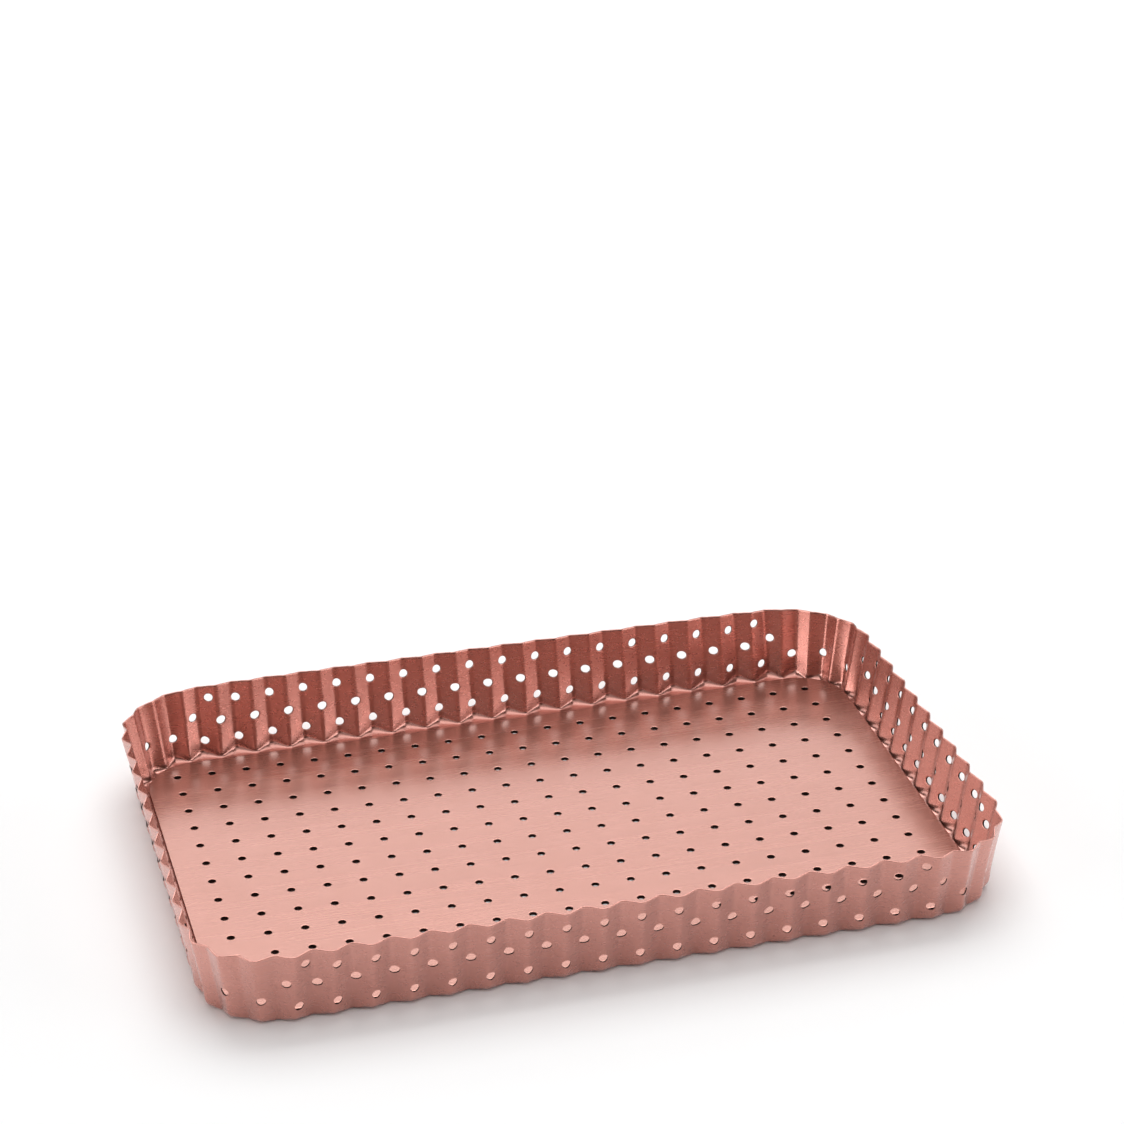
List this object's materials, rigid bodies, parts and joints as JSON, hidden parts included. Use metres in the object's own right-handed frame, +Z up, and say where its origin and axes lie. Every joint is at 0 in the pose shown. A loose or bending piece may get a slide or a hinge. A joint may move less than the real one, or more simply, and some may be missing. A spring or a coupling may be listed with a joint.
{
  "type": "loose-base tart pan",
  "caption": "Rectangular loose-base tart pan: a fluted, perforated sheet-metal ring holding a flat perforated base that lifts out upwards.",
  "frame": {"origin": "on the surface the pan stands on, under the middle of the pan", "axes": "+X along the pan's length, +Y across its width, +Z up, the way the base lifts out"},
  "size_m": [0.3124, 0.2138, 0.0313],
  "materials": {
    "ring_coating": "satin",
    "base_coating": "satin"
  },
  "bodies": {
    "ring": {"fluted_ring": "ring_coating"},
    "base": {"loose_base": "base_coating"}
  },
  "joints": [
    {"name": "base_lift", "type": "slide", "parent": "ring", "child": "base", "axis": [0, 0, 1], "range_m": [0, 0.045]}
  ]
}
